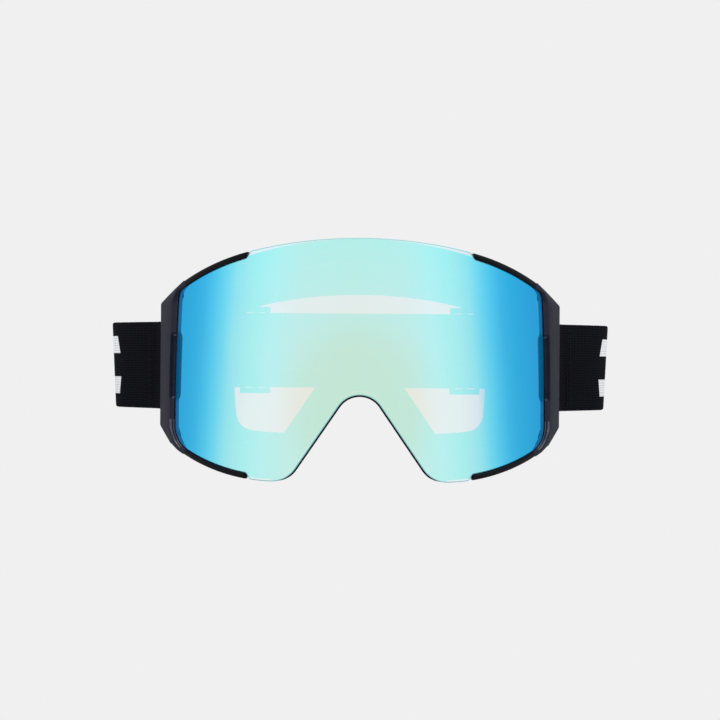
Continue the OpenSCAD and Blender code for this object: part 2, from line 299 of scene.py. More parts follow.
def placed(loop, r, cy):
    """A front-view loop laid on the front of a post."""
    return [at_depth(p, y_on(p.real, r, cy)) for p in loop]


def smooth_shade(mesh, angle):
    """Shades a mesh smoothly and keeps the edges sharper than angle as creases."""
    for polygon in mesh.polygons:
        polygon.use_smooth = True
    mesh.set_sharp_from_angle(angle=radians(angle))


def to_mesh(name, bm):
    mesh = bpy.data.meshes.new(name)
    bm.to_mesh(mesh)
    bm.free()
    return mesh


def add_object(name, data):
    obj = bpy.data.objects.new(name, data)
    bpy.context.scene.collection.objects.link(obj)
    return obj


def finish_mesh(name, bm, material, angle=CREASE):
    """Turns bm into a smooth-shaded object with its creases kept."""
    bmesh.ops.recalc_face_normals(bm, faces=bm.faces[:])
    mesh = to_mesh(name, bm)
    smooth_shade(mesh, angle)
    for m in material if isinstance(material, (list, tuple)) else [material]:
        mesh.materials.append(m)
    return add_object(name, mesh)


def skin(bm, rings, wrap=False, caps=False):
    """Joins equal closed rings of vertices with faces."""
    pairs = list(zip(rings, rings[1:]))
    if wrap:
        pairs.append((rings[-1], rings[0]))
    n = len(rings[0])
    for a, b in pairs:
        for i in range(n):
            k = (i + 1) % n
            bm.faces.new((a[i], a[k], b[k], b[i]))
    if caps:
        bm.faces.new(rings[0])
        bm.faces.new(reversed(rings[-1]))


def add_loops(bm, loops, wrap=False, caps=False):
    """A skin through equal closed loops of points."""
    skin(bm, [[bm.verts.new(p) for p in loop] for loop in loops], wrap, caps)


def ring_piece(name, loops, material, angle=CREASE):
    bm = bmesh.new()
    add_loops(bm, loops, wrap=True)
    return finish_mesh(name, bm, material, angle)


def cut_and_bend(bm, r, cy):
    """Cuts a flat slab (depth along y) into narrow columns and bends it round the post."""
    columns = int(SLAB_HALF / COLUMN)
    for k in range(-columns, columns + 1):
        geom = bm.verts[:] + bm.edges[:] + bm.faces[:]
        at = (k * COLUMN * MM, 0, 0)
        bmesh.ops.bisect_plane(bm, geom=geom, plane_co=at, plane_no=(1, 0, 0))
    for v in bm.verts:
        v.co.y = y_on(v.co.x / MM, r - v.co.y / MM, cy) * MM


def bevel_sharp(bm, width, segments, angle):
    """Rounds the edges that are sharper than angle."""
    sharp = radians(angle)
    edges = [e for e in bm.edges if len(e.link_faces) == 2 and e.calc_face_angle(0) > sharp]
    how = {"offset_type": "OFFSET", "profile": 0.5, "affect": "EDGES", "clamp_overlap": True}
    bmesh.ops.bevel(bm, geom=edges, offset=width * MM, segments=segments, **how)


def mirror_mesh(bm):
    bmesh.ops.scale(bm, vec=(-1, 1, 1), verts=bm.verts[:])
    bmesh.ops.reverse_faces(bm, faces=bm.faces[:])


def use_cad(node, material, bevel=0.0):
    """Keeps a CAD node and gives it its material, with rounded edges if bevel is set."""
    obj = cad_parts[node]
    obj.data.materials.clear()
    obj.data.materials.append(material)
    for polygon in obj.data.polygons:
        polygon.material_index = 0
    smooth_shade(obj.data, CAD_CREASE)
    if bevel:
        mod = obj.modifiers.new("edge", "BEVEL")
        mod.width = bevel * MM
        mod.segments = 2
        mod.limit_method = "ANGLE"
        mod.angle_limit = radians(CAD_CREASE)
        mod.harden_normals = True


# ---- materials

SPECULAR = "Specular IOR Level"


def new_material(name):
    mat = bpy.data.materials.new(name)
    mat.use_nodes = True
    return mat, mat.node_tree, mat.node_tree.nodes["Principled BSDF"]


def add_surface(tree, shader):
    link(shader.outputs[0], tree.nodes["Material Output"], "Surface")


def see_through(tree, colour):
    clear = node(tree, "BsdfTransparent")
    link(colour, clear, "Color")
    return clear


def node(tree, kind, **settings):
    n = tree.nodes.new("ShaderNode" + kind)
    for key, value in settings.items():
        setattr(n, key, value)
    return n


def link(value, n, socket):
    n.id_data.links.new(value, n.inputs[socket])


def set_input(n, **values):
    for key, value in values.items():
        n.inputs[key].default_value = value


def calc(operation, a, b=None, c=None, clamp=False):
    """A Math node; each operand is a number or another node's output."""
    n = node(a.id_data, "Math", operation=operation, use_clamp=clamp)
    for i, value in enumerate((a, b, c)):
        if value is None:
            continue
        if isinstance(value, (int, float)):
            n.inputs[i].default_value = value
        else:
            link(value, n, i)
    return n.outputs[0]


def times(a, b):
    return calc("MULTIPLY", a, b)


def times_plus(a, b, c, clamp=False):
    """a * b + c"""
    return calc("MULTIPLY_ADD", a, b, c, clamp)


def ramp(fac, stops, interpolation="LINEAR"):
    n = node(fac.id_data, "ValToRGB")
    n.color_ramp.interpolation = interpolation
    elements = n.color_ramp.elements
    while len(elements) < len(stops):
        elements.new(0.5)
    for element, (place, colour) in zip(elements, stops):
        element.position = place
        element.color = (*colour, 1)
    link(fac, n, 0)
    return n.outputs[0]


def grey(value):
    return (value, value, value)


def object_point(tree):
    return node(tree, "TexCoord").outputs["Object"]


def noise(point, scale, detail=4.0, roughness=0.55):
    n = node(point.id_data, "TexNoise")
    link(point, n, "Vector")
    set_input(n, Scale=scale, Detail=detail, Roughness=roughness)
    return n.outputs["Fac"]


def cells(point, scale):
    n = node(point.id_data, "TexVoronoi")
    link(point, n, "Vector")
    set_input(n, Scale=scale)
    return n.outputs["Distance"]


def add_bump(shader, height, distance):
    n = node(height.id_data, "Bump")
    set_input(n, Strength=1.0, Distance=distance * MM)
    link(height, n, "Height")
    link(n.outputs["Normal"], shader, "Normal")


def spread(fac, low, high):
    """Maps a noise's usual range, 0.3 to 0.7, on to low..high."""
    n = node(fac.id_data, "MapRange")
    set_input(n, **{"From Min": 0.3, "From Max": 0.7, "To Min": low, "To Max": high})
    link(fac, n, "Value")
    return n.outputs["Result"]


def shade(colour, factor):
    return tuple(min(c * factor, 1.0) for c in colour)


def plastic(name, colour, rough=(0.35, 0.5), grain=2600, depth=0.03, level=0.08):
    """Moulded plastic: a fine spark-eroded grain and slow changes of tone and gloss."""
    mat, tree, shader = new_material(name)
    point = object_point(tree)
    fine = noise(point, grain, 3)
    slow = noise(point, 160, 5)
    stops = [(0.3, shade(colour, 0.9)), (0.7, shade(colour, 1.1))]
    link(ramp(slow, stops), shader, "Base Color")
    blend = times_plus(fine, 0.5, times(slow, 0.5))
    link(spread(blend, *rough), shader, "Roughness")
    set_input(shader, **{SPECULAR: level})
    add_bump(shader, fine, depth)
    return mat


def metal(name, colour, rough=(0.18, 0.35)):
    """Turned and plated metal with faint rings and handling marks."""
    mat, tree, shader = new_material(name)
    point = object_point(tree)
    slow = noise(point, 420, 6)
    stops = [(0.35, shade(colour, 0.85)), (0.65, shade(colour, 1.08))]
    link(ramp(slow, stops), shader, "Base Color")
    link(spread(slow, *rough), shader, "Roughness")
    set_input(shader, Metallic=1.0)
    add_bump(shader, noise(point, 5200, 2), 0.01)
    return mat


def foam(name, colour, cell=1500, depth=0.35):
    """Open-cell foam: pits of two sizes, with painted shade inside them."""
    mat, tree, shader = new_material(name)
    point = object_point(tree)
    big = cells(point, cell)
    small = cells(point, cell * 2.3)
    height = times_plus(small, 0.5, big)
    # Painted shade: darker down in the pits, lighter on the walls between them
    stops = [(0.1, shade(colour, 0.35)), (0.45, colour), (0.9, shade(colour, 1.5))]
    link(ramp(height, stops), shader, "Base Color")
    set_input(shader, **{"Roughness": 0.95, SPECULAR: 0.15})
    add_bump(shader, height, depth)
    return mat


def fleece_material(name, colour):
    """Brushed fleece: a short nap in small tufts that lies this way and that."""
    mat, tree, shader = new_material(name)
    point = object_point(tree)
    tufts = noise(point, 1100, 6, 0.75)
    nap = noise(point, 4200, 3, 0.7)
    lie = noise(point, 210, 5, 0.65)
    height = times_plus(nap, 0.5, tufts)
    # Painted shade: darker low between the tufts, lighter at their tips
    stops = [(0.5, shade(colour, 0.35)), (0.75, colour), (0.98, shade(colour, 2.2))]
    # Painted sheen: lighter and darker patches where the nap lies differently
    tone = ramp(lie, [(0.34, grey(0.62)), (0.52, grey(0.95)), (0.66, grey(1.35))])
    link(multiply(ramp(height, stops), tone), shader, "Base Color")
    set_input(shader, **{"Roughness": 1.0, SPECULAR: 0.06})
    set_input(shader, **{"Sheen Weight": 0.22, "Sheen Roughness": 0.5})
    add_bump(shader, times_plus(lie, 0.5, height), 0.6)
    return mat


def split_xyz(vector):
    split = node(vector.id_data, "SeparateXYZ")
    link(vector, split, 0)
    return split.outputs["X"], split.outputs["Y"], split.outputs["Z"]


def thread_point(tree):
    """From the mesh: s along the webbing, v across it (in mm), and 1 on its marked face."""
    attribute = node(tree, "Attribute", attribute_name="thread")
    return split_xyz(attribute.outputs["Vector"])


def wave(value, pitch, phase=0.0):
    turn = times_plus(value, 2 * pi / pitch, phase)
    return times_plus(calc("SINE", turn), 0.5, 0.5)


def between(value, low, high):
    """1 where low < value < high."""
    return times(calc("GREATER_THAN", value, low), calc("LESS_THAN", value, high))


def mark_mask(s, v):
    """1 on the two rows of slanted bars woven into the sides of the strap."""
    off_middle = calc("ABSOLUTE", v)
    along = times_plus(off_middle, MARK_SLANT, calc("ABSOLUTE", s))
    place = calc("MODULO", calc("SUBTRACT", along, MARK_ZONE[0]), MARK_PITCH)
    bar = between(place, 0.0, MARK_LENGTH)
    row = between(off_middle, *MARK_ROW)
    zone = between(along, *MARK_ZONE)
    return times(times(bar, row), zone)


def webbing_material(name):
    """Woven elastic: ribs along the strap crossed by picks, with pale woven bars."""
    mat, tree, shader = new_material(name)
    s, v, face = thread_point(tree)
    rib = wave(v, 1.15)
    pick = wave(s, 0.9)
    stagger = wave(times_plus(s, 0.5, v), 1.15, 1.2)
    height = times_plus(pick, 0.45, times(rib, 0.6))
    height = times_plus(stagger, 0.35, height)
    fuzz = noise(object_point(tree), 3200, 4, 0.7)
    height = times_plus(fuzz, 0.5, height)
    # Painted shade: darker low in the weave, lighter on the raised threads, on the black webbing and
    # on the pale bars
    dark = ramp(height, [(0.3, (0.0008, 0.0008, 0.0013)), (1.0, (0.0062, 0.0064, 0.0095))])
    pale = ramp(height, [(0.3, (0.45, 0.46, 0.5)), (1.0, (0.84, 0.85, 0.88))])
    mask = times(mark_mask(s, v), face)
    both = node(tree, "Mix", data_type="RGBA")
    link(mask, both, "Factor")
    link(dark, both, "A")
    link(pale, both, "B")
    link(both.outputs["Result"], shader, "Base Color")
    set_input(shader, **{"Roughness": 0.85, SPECULAR: 0.03})
    add_bump(shader, height, 0.22)
    return mat


def multiply(a, b):
    """One colour times another."""
    n = node(a.id_data, "Mix", data_type="RGBA", blend_type="MULTIPLY")
    set_input(n, Factor=1.0)
    link(a, n, "A")
    link(b, n, "B")
    return n.outputs["Result"]


def mirror_lens(name):
    """A mirror coating: what it does not reflect passes through it.

    Its reflected colour is the coating's tint with a painted reflection: pale sea green in the middle,
    where a bright softbox is painted, turning to blue at the sides.
    """
    mat, tree, shader = new_material(name)
    tree.nodes.remove(shader)
    point = object_point(tree)
    x, _, z = split_xyz(point)
    drift = noise(point, 14, 2)
    side = calc("ABSOLUTE", calc("SUBTRACT", x, TINT_AND_REFLECTION_MIDDLE * MM))
    lean = times_plus(z, TINT_AND_REFLECTION_LEAN, side)
    across = times(lean, 1 / (TINT_AND_REFLECTION_HALF * MM))
    across = times_plus(drift, 0.03, across)
    across = calc("SUBTRACT", across, 0.024, clamp=True)
    # Coating tint with a painted reflection: a bright softbox in the middle, darker blue surroundings
    # at the sides
    reflect = ramp(across, TINT_AND_PAINTED_REFLECTION)
    # Painted reflection, changing with height: a little warmer at the bottom, bluer towards the top
    height = times_plus(z, 1 / (PAINTED_REFLECTION_HEIGHT * MM), 0.5, clamp=True)
    reflect = multiply(reflect, ramp(height, PAINTED_REFLECTION_BY_HEIGHT))
    # Painted reflection: a warmer patch low in the middle of the lens
    dx = times(x, 1 / (CENTRE_HALF[0] * MM))
    dz = times_plus(z, 1 / (CENTRE_HALF[1] * MM), CENTRE_RISE)
    far = times(dx, dx)
    far = times_plus(dz, dz, far, clamp=True)
    reflect = multiply(reflect, ramp(far, PAINTED_REFLECTION_PATCH, "EASE"))
    gloss = node(tree, "BsdfGlossy")
    smear = noise(point, 60, 5)
    link(spread(smear, 0.015, 0.045), gloss, "Roughness")
    link(reflect, gloss, "Color")
    clear = see_through(tree, ramp(across, TRANSMIT))
    front = node(tree, "AddShader")
    link(gloss.outputs[0], front, 0)
    link(clear.outputs[0], front, 1)
    behind = see_through(tree, ramp(across, BEHIND))
    facing = node(tree, "NewGeometry")
    both = node(tree, "MixShader")
    link(facing.outputs["Backfacing"], both, 0)
    link(front.outputs[0], both, 1)
    link(behind.outputs[0], both, 2)
    add_surface(tree, both)
    return mat


def edge_band(name):
    """The lens's tinted edge: pale teal at the top and bottom, deep blue at the sides."""
    mat, tree, shader = new_material(name)
    point = object_point(tree)
    x, _, z = split_xyz(point)
    side = times(calc("ABSOLUTE", x), 1 / (EDGE_HALF * MM))
    drift = times_plus(noise(point, 90, 4), 0.04, side)
    middle = sum(POCKET_Z) / 2 * MM
    from_pocket = calc("ABSOLUTE", calc("SUBTRACT", z, middle))
    at_nose = calc("LESS_THAN", side, 0.5)
    from_pocket = times_plus(from_pocket, 1 / (POCKET_REACH * MM), at_nose)
    tone = multiply(ramp(drift, EDGE_TONE), ramp(from_pocket, POCKET_TONE))
    link(tone, shader, "Base Color")
    link(spread(noise(point, 300, 4), 0.22, 0.32), shader, "Roughness")
    set_input(shader, **{SPECULAR: 0.02})
    return mat


def tinted_clear(name, tint):
    """A clear sheet with an anti-reflection finish: it only tints what shows through."""
    mat, tree, shader = new_material(name)
    tree.nodes.remove(shader)
    smear = noise(object_point(tree), 70, 5)
    add_surface(tree, see_through(tree, ramp(smear, [(0.35, shade(tint, 0.985)), (0.65, tint)])))
    return mat


# The coating's tint with a painted reflection: pale sea green in the middle for a bright softbox,
# deepening to blue at the sides
TINT_AND_PAINTED_REFLECTION = [
    (0.0, (0.63, 0.955, 0.885)),
    (0.25, (0.62, 0.965, 0.92)),
    (0.373, (0.55, 1.0, 1.0)),
    (0.464, (0.46, 0.985, 0.985)),
    (0.511, (0.42, 0.93, 0.97)),
    (0.560, (0.33, 0.874, 0.97)),
    (0.610, (0.19, 0.77, 0.98)),
    (0.660, (0.105, 0.65, 0.945)),
    (0.711, (0.061, 0.53, 0.89)),
    (0.764, (0.039, 0.474, 0.83)),
    (0.876, (0.032, 0.40, 0.78)),
]
EDGE_TONE = [
    (0.0, (0.27, 0.55, 0.56)),
    (0.48, (0.24, 0.52, 0.58)),
    (0.62, (0.02, 0.24, 0.45)),
    (0.76, (0.012, 0.15, 0.36)),
]
POCKET_TONE = [(0.68, (0.15, 0.66, 0.64)), (0.80, grey(1))]
# Painted reflection by height: a little warmer at the bottom, bluer towards the top
PAINTED_REFLECTION_BY_HEIGHT = [
    (0.0, (1.0, 1.0, 0.98)),
    (0.55, grey(1)),
    (0.75, (0.94, 1.01, 1.03)),
    (0.95, (0.84, 1.03, 1.04)),
]
# Painted reflection: warmer in a patch low in the middle, fading out round it
PAINTED_REFLECTION_PATCH = [(0.12, (1.0, 0.95, 0.865)), (0.85, grey(1))]
BEHIND = [(0.0, (0.46, 0.25, 0.26)), (0.9, (0.30, 0.13, 0.14))]
TRANSMIT = [
    (0.0, (0.33, 0.01, 0.06)),
    (0.25, (0.35, 0.01, 0.05)),
    (0.373, (0.42, 0.01, 0.03)),
    (0.464, (0.50, 0.02, 0.03)),
    (0.56, (0.54, 0.04, 0.03)),
    (0.62, (0.14, 0.02, 0.02)),
    (0.70, (0.03, 0.01, 0.01)),
]
MARK_ZONE = (30.0, 118.0)
MARK_PITCH = 19.0
MARK_LENGTH = 12.0
MARK_ROW = (5.5, 13.5)
MARK_SLANT = -0.25
TINT_AND_REFLECTION_MIDDLE = -3.2
TINT_AND_REFLECTION_LEAN = 0.08
TINT_AND_REFLECTION_HALF = 90
PAINTED_REFLECTION_HEIGHT = 110
CENTRE_HALF = (40, 46)
CENTRE_RISE = 0.39
EDGE_HALF = 100
POCKET_REACH = 20

coating = mirror_lens("lens_coating")
lens_base = tinted_clear("lens_rose_base", (0.90, 0.72, 0.74))
inner_clear = tinted_clear("inner_lens_clear", (0.97, 0.97, 0.97))
lens_edge = edge_band("lens_edge_band")
arm_plastic = plastic("arm_plastic", (0.027, 0.028, 0.040), (0.36, 0.5), level=0.006)
# A lighter plastic that paints highlights on the arm's ridges and ribs
arm_painted_highlight = plastic("arm_painted_highlight", (0.095, 0.095, 0.115), (0.22, 0.32), level=0.2)
finger_plastic = plastic("finger_plastic", (0.003, 0.0033, 0.0055), (0.25, 0.36), depth=0.015)
nylon = plastic("seat_nylon", (0.008, 0.008, 0.010), (0.45, 0.65))
soft_tpu = plastic("soft_frame_tpu", (0.012, 0.012, 0.015), (0.55, 0.75), 1800, 0.05)
clip_plastic = plastic("clip_acetal", (0.007, 0.007, 0.009), (0.28, 0.42), 3000, 0.02, level=0.2)
tab_plastic = plastic("tab_plastic", (0.010, 0.011, 0.014), (0.35, 0.5))
gasket_rubber = plastic("gasket_rubber", (0.002, 0.002, 0.003), (0.6, 0.8), 1500, 0.05, level=0.03)
silicone = plastic("grip_silicone", (0.012, 0.012, 0.015), (0.12, 0.25), 900, 0.04, level=0.4)
steel = metal("pin_steel", (0.52, 0.53, 0.55))
nickel = metal("black_nickel", (0.030, 0.030, 0.033), (0.2, 0.35))
spacer_foam = foam("spacer_foam", (0.018, 0.018, 0.021), 2600, 0.12)
vent_foam = foam("vent_foam", (0.055, 0.055, 0.062), 900, 0.6)
dense_foam = foam("dense_foam", (0.022, 0.022, 0.026), 2200, 0.2)
soft_foam = foam("soft_foam", (0.040, 0.040, 0.047), 1300, 0.35)
fleece = fleece_material("face_fleece", (0.026, 0.026, 0.030))
webbing = webbing_material("strap_webbing")
thread = plastic("sewing_thread", (0.006, 0.006, 0.008), (0.4, 0.6), 4000, 0.05)

# ---- lens

CHAMFER = 0.3
COATING, BASE, EDGE = 0, 1, 2
GASKET_LIP = 0.75
GASKET_SECTION = ((-2.3, 0), (-0.5, 0.05), (-0.12, 0.2), (0, 0.55), (0, 5.9), (-0.3, 6.4), (-1.4, 6.5))


def into_pocket(z):
    """How far z lies inside the finger pocket; negative past its ends."""
    return min(z - POCKET_Z[0], POCKET_Z[1] - z)


def lens_loop():
    """The outer lens's outline: full between the arms' tips, inset beside them."""
    full = half_outline(LENS, 0)
    held = half_outline(LENS, ARM_W + GAP)

    def past_tip(p):
        tip_z = NOTCH_TOP_Z if p.imag > 0 else NOTCH_LOW_Z
        return p.real - NOTCH_X + NOTCH_LEAN * (abs(p.imag) - tip_z)

    top_out, i_out = crossing(full, past_tip)
    top_in, i_in = crossing(held, past_tip)
    low_in, k_in = crossing(held, past_tip, i_in)
    low_out, k_out = crossing(full, past_tip, i_out)
    top = [
        *round_corner(full[i_out - 1], top_out, top_in, 0.5),
        *round_corner(top_out, top_in, held[i_in], 0.6),
    ]
    low = [
        *round_corner(held[k_in - 1], low_in, low_out, 0.6),
        *round_corner(low_in, low_out, full[k_out], 0.5),
    ]
    return closed(full[: i_out - 1] + top + held[i_in + 1 : k_in - 1] + low + full[k_out + 1 :])


def band_width(p):
    """How far the lens's edge band reaches in: wide at the sides, widest at the pocket."""
    side = smooth((abs(p.real) - 74) / 4.5)
    pocket = min(max(into_pocket(p.imag) / 1.6, 0.0), 1.0)
    return CHAMFER + 0.08 + side * (1.5 + 0.9 * pocket)


def make_outer_lens():
    """The lens from its mirrored front, over the tinted edge, to its back."""
    loop = lens_loop()
    width = [band_width(p) for p in loop]
    section = (
        ([w + 0.5 for w in width], 0.0),
        (width, 0.0),
        (CHAMFER + 0.05, 0.0),
        (CHAMFER, 0.01),
        (0.06, 0.18),
        (0, 0.26),
        (0, LENS_T - 0.15),
        (0.15, LENS_T),
        (0.6, LENS_T),
    )
    bm = bmesh.new()
    loops = [[at_depth(p, y) for p in inset(loop, amount)] for amount, y in section]
    add_loops(bm, loops, caps=True)
    bm.faces.ensure_lookup_table()
    for i, face in enumerate(bm.faces):
        band = i // len(loop)
        face.material_index = EDGE if 1 <= band <= 4 else BASE if band >= 7 else COATING
    bm.faces[8 * len(loop)].material_index = COATING
    cut_and_bend(bm, LENS_R, LENS_CY)
    obj = finish_mesh("outer_lens_shell", bm, [coating, lens_base, lens_edge], 30)
    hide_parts("outer_lens")
    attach(obj, "lens")


def make_nose_gasket():
    """The soft black lip between the lens and the nose, thinning out round the lobes."""
    edge = half_outline(LENS, 0)
    deep = half_outline(LENS, 1.5)
    first = next(i for i, p in enumerate(edge) if p.imag < -20 and p.real < 38)
    half = [(p, (p - q) / 1.5) for p, q in zip(edge[first:], deep[first:])]
    path = half + [(complex(-p.real, p.imag), complex(-o.real, o.imag)) for p, o in half[-2::-1]]
    bm = bmesh.new()
    loops = []
    for p, out in path:
        lip = GASKET_LIP * smooth((36.5 - abs(p.real)) / 9)
        loop = []
        for across, depth in GASKET_SECTION:
            c = p + out * (lip + across)
            loop.append(at_depth(c, y_on(c.real, LENS_R - LENS_T - 0.25 - depth, LENS_CY)))
        loops.append(loop)
    add_loops(bm, loops, caps=True)
    obj = finish_mesh("nose_gasket_lip", bm, gasket_rubber, 40)
    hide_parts("nose_gasket")
    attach(obj, "frame")


# ---- side arms

ARM_SPLITS = (30, 26, 66, 30, 30)
PANEL_TOP_Z = 24.3
PANEL_LOW_Z = -29.2
PANEL_TIP = 80.9 + 30.5j
CORNER_STEP = 82.8 - 37j
POCKET_EASE = 1.4
FIRST_BACK_POINT = 12
FINGER, PAINTED_HIGHLIGHT = 1, 2
# One point of the arm's section: how far out it is, its depth behind the arm's front in a
# corner arm, and its depth in the side panel and in the panel's finger pocket
ARM_SECTION = (
    (0.0, 0.0, 5.6, 6.7, 6.7),
    (0.0, 0.0, 0.95, 1.3, 4.3),
    (0.04, 0.020, 0.45, 0.5, 2.7),
    (0.14, 0.055, 0.14, 0.1, 2.2),
    (0.32, 0.163, 0.0, -1.35, 0.7),
    (0.50, 0.265, 0.0, -2.8, -2.2),
    (0.66, 0.300, 0.03, -3.1, -3.1),
    (0.78, 0.383, 0.10, -2.95, -2.95),
    (0.88, 0.640, 0.24, -1.45, -1.45),
    (0.96, 0.668, 0.50, -0.95, -0.95),
    (1.0, 0.918, 0.90, 0.0, 0.0),
    (1.0, 0.990, 1.60, 1.1, 1.1),
    (1.0, 1.0, 5.20, 14.2, 14.2),
    (0.92, 0.960, 5.60, 15.1, 15.1),
    (0.75, 0.806, 5.70, 18.0, 18.0),
    (0.50, 0.776, 5.70, 4.6, 4.6),
    (0.20, 0.224, 5.70, 3.7, 3.7),
)


def arm_paths():
    """Matching stations along the arm's inner and outer edges, from tip to tip."""
    marks_in = (at_x(47.9), at_x(75), at_z(24.8), at_z(-29.6), at_x(75), at_x(48.1))
    ins = stretches(half_outline(LENS, ARM_W), marks_in)
    outs = stretches(half_outline(LENS, 0), (at_x(46.5), at_x(76), at_x(76), at_x(46.7)))
    top_step = outs[0][-1]
    low_step = outs[2][0]
    middle = complex(ARM_X, 0)
    top = [top_step, top_step + 0.15 + 0.3j, PANEL_TIP]
    top += round_corner(PANEL_TIP, complex(ARM_X, PANEL_TOP_Z), middle, 0.7)[:3]
    low = round_corner(middle, complex(ARM_X, PANEL_LOW_Z), CORNER_STEP, 0.7)[2:]
    low += [CORNER_STEP, CORNER_STEP - 0.3, 79.2 - 39.6j, low_step - 0.35j, low_step]
    outs = [outs[0], top, [top[-1], low[0]], low, outs[2]]
    stations = []
    last = len(ARM_SPLITS) - 1
    for k, count in enumerate(ARM_SPLITS):
        steps = [i / count for i in range(count + (k == last))]
        if k == 0:
            steps = [t**1.5 for t in steps]
        if k == last:
            steps = [1 - (1 - t) ** 1.5 for t in steps]
        for t, q, p in zip(steps, resample(ins[k], steps), resample(outs[k], steps)):
            panel = (0.0, t, 1.0, 1 - t, 0.0)[k]
            stations.append((q, p, panel))
    return stations


def arm_loop(q, p, panel, tip):
    """The arm's section from q, inside, to p, outside; panel and tip are 1 in those parts."""
    rise = smooth(panel * 1.25)
    reach = panel**4
    pocket = smooth(into_pocket(q.imag) / POCKET_EASE)
    loop = []
    for k, (w_arm, w_panel, arm, plain, scooped) in enumerate(ARM_SECTION):
        share = reach if k >= FIRST_BACK_POINT else rise
        w = w_arm + (w_panel - w_arm) * share
        w = 0.5 + (w - 0.5) * (1 - 0.22 * tip)
        deep = plain + (scooped - plain) * pocket
        depth = arm + (deep - arm) * share
        if arm < 2:
            depth += 0.45 * tip
        c = q + (p - q) * w
        loop.append(at_depth(c, y_on(c.real, LENS_R + 0.8, LENS_CY) + depth))
    return loop


def paint_arm(bm, stations):
    """Gives the fingers their own material, and paints highlights in a lighter plastic on the ridges
    round the pocket and on the lower corner's ribs.
    """
    bm.faces.ensure_lookup_table()
    n = len(ARM_SECTION)
    last = len(stations) - 1
    for i, (q, _, panel) in enumerate(stations[:last]):
        band = bm.faces[i * n : (i + 1) * n]
        if panel == 0.0:
            for face in band:
                face.material_index = FINGER
            continue
        # Painted highlight on the ridges where the finger pocket starts and ends
        if 0.1 < smooth(into_pocket(q.imag) / POCKET_EASE) < 0.95:
            band[2].material_index = band[3].material_index = PAINTED_HIGHLIGHT
        # Painted highlight on the ribs of the panel's lower corner
        if q.imag < PANEL_LOW_Z + 3 and panel > 0.2:
            band[2].material_index = band[4].material_index = PAINTED_HIGHLIGHT
    for cap in bm.faces[last * n : last * n + 2]:
        cap.material_index = FINGER


def arm_mesh():
    """One skin from the top tip, down the side panel and out to the bottom tip."""
    bm = bmesh.new()
    stations = arm_paths()
    ends = (stations[0][0], stations[-1][0])
    loops = []
    for q, p, panel in stations:
        to_tip = min(abs(q - end) for end in ends)
        loops.append(arm_loop(q, p, panel, max(0.0, 1 - to_tip / 1.3) ** 2))
    add_loops(bm, loops, caps=True)
    paint_arm(bm, stations)
    bmesh.ops.recalc_face_normals(bm, faces=bm.faces[:])
    return bm


def make_side_arm(side):
    bm = arm_mesh()
    lugs(bm)
    if side == "left":
        mirror_mesh(bm)
    obj = finish_mesh("side_arm_shell_" + side, bm, [arm_plastic, finger_plastic, arm_painted_highlight], 28)
    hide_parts("side_arm_" + side)
    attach(obj, "frame")


def lugs(bm):
    """The two eyes that hold the hinge pin."""
    for ends in ((PIN_LOW.z + 0.2, PIN_LOW.z + 3), (PIN_HIGH.z - 3, PIN_HIGH.z - 0.2)):
        part = bmesh.new()
        eye = [PIN + 2.8 * unit(a * tau / 24) for a in range(-5, 13)]
        plan = [86.9 + 12j] + eye + [81.9 + 22j, 82.2 + 14j]
        add_loops(part, [[at_height(p, z) for p in plan] for z in ends], caps=True)
        bmesh.ops.recalc_face_normals(part, faces=part.faces[:])
        bevel_sharp(part, 0.3, 2, 40)
        joined = to_mesh("lug", part)
        bm.from_mesh(joined)
        bpy.data.meshes.remove(joined)


# ---- face frame and foam


def rounded_box(bm, centre, size, r):
    """A box with rounded edges, as a cutter."""
    made = bmesh.ops.create_cube(bm, size=1.0)
    bmesh.ops.scale(bm, vec=Vector(size) * MM, verts=made["verts"])
    bmesh.ops.translate(bm, vec=Vector(centre) * MM, verts=made["verts"])
    edges = list({e for v in made["verts"] for e in v.link_edges})
    bmesh.ops.bevel(bm, geom=edges, offset=r * MM, segments=3, profile=0.5, affect="EDGES")


def subtract(obj, cutter_bm):
    """Cuts cutter_bm out of obj for good."""
    cutter = add_object("cutter", to_mesh("cutter", cutter_bm))
    mod = obj.modifiers.new("cut", "BOOLEAN")
    mod.object = cutter
    mod.operation = "DIFFERENCE"
    mod.solver = "EXACT"
    bpy.context.view_layer.update()
    graph = bpy.context.evaluated_depsgraph_get()
    result = bpy.data.meshes.new_from_object(obj.evaluated_get(graph))
    obj.modifiers.clear()
    old = obj.data
    obj.data = result
    bpy.data.meshes.remove(old)
    bpy.data.objects.remove(cutter)
    smooth_shade(result, CREASE)


def between_surfaces(loop, w):
    """A loop a part w of the way from the seat frame back to the flange's front."""
    out = []
    for p in loop:
        y0 = y_on(p.real, SEAT_BACK_R - 0.1, LENS_CY)
        y1 = y_on(p.real, FACE_R, FLANGE_FRONT)
        out.append(at_depth(p, y0 + (y1 - y0) * w))
    return out


